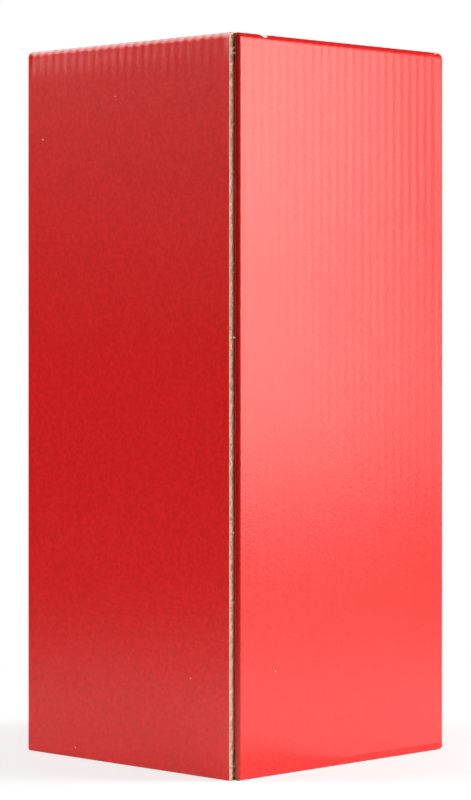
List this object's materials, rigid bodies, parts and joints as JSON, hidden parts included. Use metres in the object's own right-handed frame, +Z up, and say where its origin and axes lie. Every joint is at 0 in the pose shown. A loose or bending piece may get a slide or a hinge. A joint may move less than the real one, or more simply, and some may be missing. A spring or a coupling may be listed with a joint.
{
  "type": "folding carton",
  "caption": "Tall, nearly square folding carton of fine corrugated board, glossy red outside, with a glued side joint, a tuck lid and a snap-lock bottom.",
  "frame": {"origin": "centre of the base, on the surface that the carton stands on", "axes": "+Z up; the back wall, on which the lid hangs, faces -Y; the wall with the lapped cut edge faces -X"},
  "size_m": [0.0854, 0.083, 0.2],
  "materials": {
    "printed_board": "glossy red film-laminated print outside, bare kraft inside and at the cut edges"
  },
  "bodies": {
    "carton": {"carton_body": "printed_board"},
    "lid": {"lid_flap": "printed_board"}
  },
  "joints": [
    {"name": "lid_hinge", "type": "hinge", "parent": "carton", "child": "lid", "pos_m": [0, -0.0415, 0.2], "axis": [1, 0, 0], "range_deg": [0, 180]}
  ]
}
